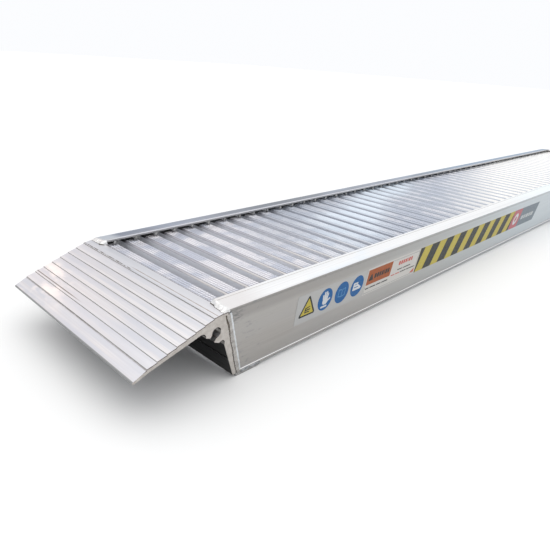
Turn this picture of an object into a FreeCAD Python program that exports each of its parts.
import FreeCAD, Part
import math
import os

# Aluminium loading ramp: two side beams with kerb flanges, serrated rungs between them,
# and a stepped lip extrusion welded across each end. Millimetres.
# Frame: X runs along the ramp, Y across it and Z up. The origin lies on the ground, under
# the middle of the ramp, and the foot pads stand on z = 0.
# The small outlines below are drawn in an end frame: x = 0 at the end of the kerb's outer
# top edge, growing towards the middle of the ramp, and z = 0 at that edge.

# Overall
OVERALL_WIDTH = 500.0
BEAM_DEPTH = 169.0
PAD_THICKNESS = 9.5
KERB_TOP = BEAM_DEPTH + PAD_THICKNESS

# Rungs
RUNG_COUNT = 55
RUNG_PITCH = 65.0
RUNG_WIDTH = 34.0
RUNG_HEIGHT = 26.0
RUNG_WALL = 2.5
RUNG_TOP = -12.0            # tips of the ribs, below the kerb's outer edge
FIRST_RUNG_X = -1.0         # front face of the first rung
RIB_COUNT = 4
RIB_PITCH = 8.2
RIB_DEPTH = 2.2
RIB_TIP_WIDTH = 4.0
FIRST_RIB_X = 5.0           # front of the first rib's tip, behind the rung's front face
RUNG_SHOULDER_X = 3.2       # the sloping shoulder ahead of the first rib
RUNG_SHOULDER_Z = 5.5

# Beams
KERB_LENGTH = (RUNG_COUNT - 1) * RUNG_PITCH + RUNG_WIDTH + 2 * FIRST_RUNG_X
KERB_WIDTH = 47.0
KERB_RISE = 4.5             # the kerb's top slopes up by this much towards the deck
KERB_THICKNESS = 5.0
FOOT_THICKNESS = 7.0        # of the bottom flange
WEB_THICKNESS = 6.0
WEB_RECESS = 2.5            # web's outer face, behind the flange edges
WEB_CORNER_RADIUS = 4.0     # inside the section, where the web meets a flange
EDGE_BREAK = 0.8            # small break on the section's outer edges
TOP_BEAD_HEIGHT = 8.5       # thickened outer edge at the kerb, down to the web's face
BOTTOM_BEAD_HEIGHT = 5.5    # upright part of the thickened outer edge at the ground
BOTTOM_BEAD_SLOPE = 3.5     # height of the slope from there in to the web's face
BOTTOM_FLANGE_WIDTH = 36.0
KERB_GROOVE_Y = 38.5
KERB_GROOVE_DEPTH = 0.6
KERB_GROOVE_HALF = 0.5
BEAM_END_SLOPE = 0.30       # x per unit of depth: each beam end is cut back under the ramp
WEB_INNER = WEB_RECESS + WEB_THICKNESS

# Lip extrusion
LIP_REACH = 231.0
TIP_TOP = -75.5
TIP_THICKNESS = 6.0
STEP_COUNT = 8
STEP_PITCH = 22.75
STEP_RISE = 7.5
RISER_HEIGHT = 1.9
RISER_RUN = 0.6
FIRST_STEP = (-198.5, -60.3)
HEAD_TOP = -5.0
HEAD_FLAT_X = -20.0
HEAD_REAR_X = -3.0
HEAD_REAR_DEPTH = 6.0
LEG_GAP = 14.0              # weld width between the leg and the beam end
LEG_FRONT_TOP = (-9.0, -73.0)
LEG_FRONT_SLOPE = 0.385
LEG_RIB_Z = -119.0
LEG_RIB_SIZE = 2.5
GROOVE_CENTRE = (-31.5, -42.0)
GROOVE_RADIUS = 12.0
GROOVE_MOUTH = 16.0
GROOVE_MOUTH_REACH = 40.0   # from the groove's axis out past the lugs
GROOVE_MOUTH_ANGLE = 232.0  # degrees from +X towards +Z

# Foot pads
PAD_FRONT = 38.0
PAD_FLAT_END = 106.0
PAD_REAR = 124.0
PAD_EDGE = 3.0              # radius at the front of the sole
PAD_INSET = 0.5             # the pad's and the welds' outer face, behind the flange edges

# Welds
KERB_WELD_REACH = 17.0
KERB_WELD_DEPTH = 7.0       # underside of the kerb's end weld
TACK_LENGTH = 9.0
TACK_SIZE = 4.0             # foot of a tack on the rung, beyond the kerb's inner edge
TACK_INSET = 3.0            # part of a tack that lies under the kerb
FILLET_SIZE = 6.0
FILLET_INSET = 2.0
FIRST_FILLET_X = 15.0
SEAM_FACE = 0.6             # how far the ground seam lies behind the flange edges

# Labels, on the outer face of the right beam: start and end along the ramp
LABEL_THICKNESS = 0.3
LABEL_TOP = -37.0
LABEL_BOTTOM = -114.0
LABELS = {
    "pictogram_label": (226.0, 520.0),
    "caution_label": (522.0, 812.0),
    "hazard_tape": (814.0, 1608.0),
    "identity_label": (1610.0, 1904.0),
}

HALF_KERB = KERB_LENGTH / 2
HALF_WIDTH = OVERALL_WIDTH / 2


def kerb_top(y):
    """The sloping top of the kerb, at distance y from the beam's outer face."""
    return KERB_RISE * y / KERB_WIDTH


def kerb_under(y):
    """The underside of the kerb flange."""
    return kerb_top(y) - KERB_THICKNESS


def beam_end_x(z):
    """The inclined end of the beam, at height z."""
    return -BEAM_END_SLOPE * z


def leg_back_x(z):
    """The back face of the leg, parallel to the beam end."""
    return beam_end_x(z) - LEG_GAP


def leg_front_x(z):
    """The front face of the leg, which thins towards the ground."""
    return LEG_FRONT_TOP[0] + LEG_FRONT_SLOPE * (LEG_FRONT_TOP[1] - z)


def side_point(x, z):
    """A point of a side outline, drawn in the XZ plane."""
    return FreeCAD.Vector(x, 0, z)


def section_point(y, z):
    """A point of a cross-section outline, drawn in the YZ plane."""
    return FreeCAD.Vector(0, y, z)


def outline(points, make_point):
    """A closed face through points; an (a, b, "arc") point is the middle of an arc."""
    edges = []
    count = len(points)
    index = 0
    while index < count:
        start = make_point(*points[index][:2])
        following = points[(index + 1) % count]
        if len(following) == 3:
            middle = make_point(*following[:2])
            end = make_point(*points[(index + 2) % count][:2])
            edges.append(Part.Arc(start, middle, end).toShape())
            index += 2
        else:
            end = make_point(*following)
            edges.append(Part.makeLine(start, end))
            index += 1
    return Part.Face(Part.Wire(edges))


def along_y(face, start, length):
    """Extrude a side outline across the ramp."""
    solid = face.extrude(FreeCAD.Vector(0, length, 0))
    solid.translate(FreeCAD.Vector(0, start, 0))
    return solid


def along_x(face, start, length):
    """Extrude a cross-section along the ramp."""
    solid = face.extrude(FreeCAD.Vector(length, 0, 0))
    solid.translate(FreeCAD.Vector(start, 0, 0))
    return solid


def other_side(shape):
    """Mirror a piece from the right-hand side of the ramp to the left."""
    return shape.mirror(FreeCAD.Vector(0, HALF_WIDTH, 0), FreeCAD.Vector(0, 1, 0))


def other_end(shape):
    """Mirror a piece from the front end of the ramp to the rear."""
    return shape.mirror(FreeCAD.Vector(HALF_KERB, 0, 0), FreeCAD.Vector(1, 0, 0))


def save(name, shape):
    """Move a piece from the end frame to the ramp's own frame and write it."""
    placed = shape.copy()
    placed.translate(FreeCAD.Vector(-HALF_KERB, -HALF_WIDTH, KERB_TOP))
    placed.exportStep("parts/" + name + ".step")


def save_at_corners(name, shape):
    """Write one piece at each of the four corners of the ramp."""
    left = other_side(shape)
    save(name + "_front_right", shape)
    save(name + "_front_left", left)
    save(name + "_rear_right", other_end(shape))
    save(name + "_rear_left", other_end(left))


def make_beam():
    """Right beam: kerb flange, web and bottom flange, with its ends cut back."""
    bottom = -BEAM_DEPTH
    foot_top = bottom + FOOT_THICKNESS
    corner = WEB_CORNER_RADIUS
    corner_middle = corner * (1 - math.sqrt(0.5))
    groove_start = KERB_GROOVE_Y - KERB_GROOVE_HALF
    groove_end = KERB_GROOVE_Y + KERB_GROOVE_HALF
    inner_break = KERB_WIDTH - EDGE_BREAK
    section = outline([
        (EDGE_BREAK, kerb_top(EDGE_BREAK)),
        (groove_start, kerb_top(groove_start)),
        (KERB_GROOVE_Y, kerb_top(KERB_GROOVE_Y) - KERB_GROOVE_DEPTH),
        (groove_end, kerb_top(groove_end)),
        (inner_break, kerb_top(inner_break)),
        (KERB_WIDTH, kerb_top(KERB_WIDTH) - EDGE_BREAK),
        (KERB_WIDTH, kerb_under(KERB_WIDTH)),
        (WEB_INNER + corner, kerb_under(WEB_INNER + corner)),
        (WEB_INNER + corner_middle, kerb_under(WEB_INNER) - corner_middle, "arc"),
        (WEB_INNER, kerb_under(WEB_INNER) - corner),
        (WEB_INNER, foot_top + corner),
        (WEB_INNER + corner_middle, foot_top + corner_middle, "arc"),
        (WEB_INNER + corner, foot_top),
        (BOTTOM_FLANGE_WIDTH, foot_top),
        (BOTTOM_FLANGE_WIDTH, bottom),
        (EDGE_BREAK, bottom),
        (0, bottom + EDGE_BREAK),
        (0, bottom + BOTTOM_BEAD_HEIGHT),
        (WEB_RECESS, bottom + BOTTOM_BEAD_HEIGHT + BOTTOM_BEAD_SLOPE),
        (WEB_RECESS, -TOP_BEAD_HEIGHT),
        (WEB_RECESS * 0.28, -TOP_BEAD_HEIGHT / 2, "arc"),
        (0, -EDGE_BREAK),
    ], section_point)
    past = 1.0
    above = KERB_RISE + past
    below = bottom - past
    blank = along_x(section, beam_end_x(above), KERB_LENGTH - 2 * beam_end_x(above))
    end_cut = outline([
        (beam_end_x(above) - past, above),
        (beam_end_x(above), above),
        (beam_end_x(below), below),
        (beam_end_x(above) - past, below),
    ], side_point)
    cutter = along_y(end_cut, -past, KERB_WIDTH + 2 * past)
    return blank.cut(cutter).cut(other_end(cutter))


def lip_top_points():
    """The stepped tread of the lip, from its tip up to the head."""
    points = []
    for step in range(STEP_COUNT):
        nose_x = FIRST_STEP[0] + step * STEP_PITCH
        nose_z = FIRST_STEP[1] + step * STEP_RISE
        points.append((nose_x - RISER_RUN, nose_z - RISER_HEIGHT))
        points.append((nose_x, nose_z))
    return points


def make_lip():
    """Front lip extrusion: stepped lip, head with a round groove, inclined leg."""
    head_rear_low = HEAD_TOP - HEAD_REAR_DEPTH
    rib_low = LEG_RIB_Z - LEG_RIB_SIZE
    tip_bottom = TIP_TOP - TIP_THICKNESS
    points = [
        (-LIP_REACH, TIP_TOP - TIP_THICKNESS / 2, "arc"),
        (-LIP_REACH + 2, TIP_TOP),
    ]
    points += lip_top_points()
    points += [
        (HEAD_FLAT_X, HEAD_TOP),
        (HEAD_REAR_X, HEAD_TOP),
        (HEAD_REAR_X, head_rear_low),
        (leg_back_x(head_rear_low), head_rear_low),
        (leg_back_x(-BEAM_DEPTH), -BEAM_DEPTH),
        (leg_front_x(-BEAM_DEPTH), -BEAM_DEPTH),
        (leg_front_x(rib_low), rib_low),
        (leg_front_x(rib_low) - LEG_RIB_SIZE, LEG_RIB_Z),
        (leg_front_x(LEG_RIB_Z), LEG_RIB_Z),
    ]
    points += [
        # rounded hollow at the top of the leg
        (leg_front_x(-78), -78),
        (-13.5, -65, "arc"),
        # the lugs on both sides of the groove's mouth
        (-22, -68.5),
        (-35, -63),
        (-47.5, -49.5),
        (-58.5, -46),
        # rounded hollow behind the lip, then the lip's underside out to its tip
        (-62, -37, "arc"),
        (-72.5, -34),
        (-195, -69),
        (-LIP_REACH + 3, tip_bottom),
    ]
    body = along_y(outline(points, side_point), 0, OVERALL_WIDTH)
    centre_x, centre_z = GROOVE_CENTRE
    groove = Part.makeCylinder(GROOVE_RADIUS, OVERALL_WIDTH,
                               FreeCAD.Vector(centre_x, 0, centre_z), FreeCAD.Vector(0, 1, 0))
    mouth = Part.makeBox(GROOVE_MOUTH_REACH, OVERALL_WIDTH, GROOVE_MOUTH,
                         FreeCAD.Vector(0, 0, -GROOVE_MOUTH / 2))
    mouth.rotate(FreeCAD.Vector(0, 0, 0), FreeCAD.Vector(0, 1, 0), -GROOVE_MOUTH_ANGLE)
    mouth.translate(FreeCAD.Vector(centre_x, 0, centre_z))
    return body.cut(groove.fuse(mouth))


def make_rung():
    """One hollow tread bar with ribs along it, its front face at x = 0."""
    bottom = RUNG_TOP - RUNG_HEIGHT
    valley = RUNG_TOP - RIB_DEPTH
    half_gap = (RIB_PITCH - RIB_TIP_WIDTH) / 2
    points = [
        (0, bottom),
        (0, RUNG_TOP - RUNG_SHOULDER_Z),
        (RUNG_SHOULDER_X, valley),
    ]
    for rib in range(RIB_COUNT):
        tip = FIRST_RIB_X + rib * RIB_PITCH
        valley_x = min(tip + RIB_TIP_WIDTH + half_gap, RUNG_WIDTH)
        points.append((tip, RUNG_TOP))
        points.append((tip + RIB_TIP_WIDTH, RUNG_TOP))
        points.append((valley_x, valley))
    points.append((RUNG_WIDTH, valley - 1))
    points.append((RUNG_WIDTH, bottom))
    length = OVERALL_WIDTH - 2 * WEB_INNER
    bar = along_y(outline(points, side_point), WEB_INNER, length)
    hollow_height = RUNG_HEIGHT - RUNG_WALL - RUNG_SHOULDER_Z
    hollow = Part.makeBox(RUNG_WIDTH - 2 * RUNG_WALL, length, hollow_height,
                          FreeCAD.Vector(RUNG_WALL, WEB_INNER, bottom + RUNG_WALL))
    return bar.cut(hollow)


def make_pad():
    """Foot pad: a plate under the beam end with a rounded heel."""
    top = -BEAM_DEPTH
    bottom = top - PAD_THICKNESS
    face = outline([
        (PAD_FRONT, top),
        (PAD_FRONT + PAD_EDGE * 0.2, bottom + PAD_EDGE * 0.8, "arc"),
        (PAD_FRONT + PAD_EDGE, bottom),
        (PAD_FLAT_END, bottom),
        (PAD_REAR - 6, bottom + 3, "arc"),
        (PAD_REAR, top),
    ], side_point)
    return along_y(face, PAD_INSET, BOTTOM_FLANGE_WIDTH - PAD_INSET)


def kerb_end_weld_outline(y):
    """Side outline of the kerb's end weld, where the kerb is as high as it is at y."""
    top = kerb_top(y)
    face = outline([
        (-KERB_WELD_REACH, HEAD_TOP),
        (-KERB_WELD_REACH * 0.55, HEAD_TOP + (top - HEAD_TOP) * 0.7, "arc"),
        (beam_end_x(top), top),
        (beam_end_x(-KERB_WELD_DEPTH), -KERB_WELD_DEPTH),
        (HEAD_REAR_X, -KERB_WELD_DEPTH),
        (HEAD_REAR_X, HEAD_TOP),
    ], side_point)
    face.translate(FreeCAD.Vector(0, y, 0))
    return face.OuterWire


def make_kerb_end_weld():
    """Sloped weld from the kerb's end down onto the head of the lip extrusion."""
    outer = kerb_end_weld_outline(PAD_INSET)
    inner = kerb_end_weld_outline(KERB_WIDTH)
    return Part.makeLoft([outer, inner], True, True)


def make_seam_weld():
    """Ground weld that fills the space between the leg and the beam's web."""
    top = HEAD_TOP - HEAD_REAR_DEPTH
    bottom = -BEAM_DEPTH
    face = outline([
        (leg_back_x(top), top),
        (beam_end_x(top), top),
        (beam_end_x(bottom), bottom),
        (leg_back_x(bottom), bottom),
    ], side_point)
    return along_y(face, SEAM_FACE, WEB_INNER - SEAM_FACE)


def make_tack_welds():
    """One short weld per rung, between its rear rib and the kerb flange."""
    hidden_y = KERB_WIDTH - TACK_INSET
    face = outline([
        (hidden_y, RUNG_TOP),
        (hidden_y, kerb_under(hidden_y)),
        (KERB_WIDTH, kerb_under(KERB_WIDTH)),
        (KERB_WIDTH + TACK_SIZE * 0.2, RUNG_TOP / 2, "arc"),
        (KERB_WIDTH + TACK_SIZE, RUNG_TOP),
    ], section_point)
    last_rear = KERB_LENGTH - beam_end_x(RUNG_TOP)
    welds = []
    for rung in range(RUNG_COUNT):
        rung_rear = FIRST_RUNG_X + rung * RUNG_PITCH + RUNG_WIDTH
        rear = min(rung_rear, last_rear)
        welds.append(along_x(face, rear - TACK_LENGTH, TACK_LENGTH))
    return Part.makeCompound(welds)


def make_web_welds():
    """One fillet weld per rung, in the corner under it and against the web."""
    corner = RUNG_TOP - RUNG_HEIGHT
    face = outline([
        (WEB_INNER, corner),
        (WEB_INNER + FILLET_SIZE, corner),
        (WEB_INNER, corner - FILLET_SIZE),
    ], section_point)
    welds = []
    for rung in range(RUNG_COUNT):
        front = FIRST_RUNG_X + rung * RUNG_PITCH
        start = max(front + FILLET_INSET, FIRST_FILLET_X)
        end = min(front + RUNG_WIDTH - FILLET_INSET, KERB_LENGTH - FIRST_FILLET_X)
        welds.append(along_x(face, start, end - start))
    return Part.makeCompound(welds)


def make_label(start, end):
    """One sticker on the outer face of the right beam's web."""
    return Part.makeBox(end - start, LABEL_THICKNESS, LABEL_TOP - LABEL_BOTTOM,
                        FreeCAD.Vector(start, WEB_RECESS - LABEL_THICKNESS, LABEL_BOTTOM))


def save_rungs():
    """Write the rungs two to a file, and the last one alone."""
    rung = make_rung()
    for first in range(0, RUNG_COUNT, 2):
        members = range(first, min(first + 2, RUNG_COUNT))
        bars = []
        for member in members:
            bar = rung.copy()
            bar.translate(FreeCAD.Vector(FIRST_RUNG_X + member * RUNG_PITCH, 0, 0))
            bars.append(bar)
        save("rungs_" + "_".join("%02d" % (member + 1) for member in members),
             Part.makeCompound(bars))


def main():
    os.makedirs("parts", exist_ok=True)
    beam = make_beam()
    save("beam_right", beam)
    save("beam_left", other_side(beam))
    lip = make_lip()
    save("lip_front", lip)
    save("lip_rear", other_end(lip))
    save_rungs()
    save_at_corners("pad", make_pad())
    save_at_corners("kerb_end_weld", make_kerb_end_weld())
    save_at_corners("seam_weld", make_seam_weld())
    tacks = make_tack_welds()
    save("tack_welds_right", tacks)
    save("tack_welds_left", other_side(tacks))
    fillets = make_web_welds()
    save("web_welds_right", fillets)
    save("web_welds_left", other_side(fillets))
    for name, (start, end) in LABELS.items():
        save(name, make_label(start, end))


main()
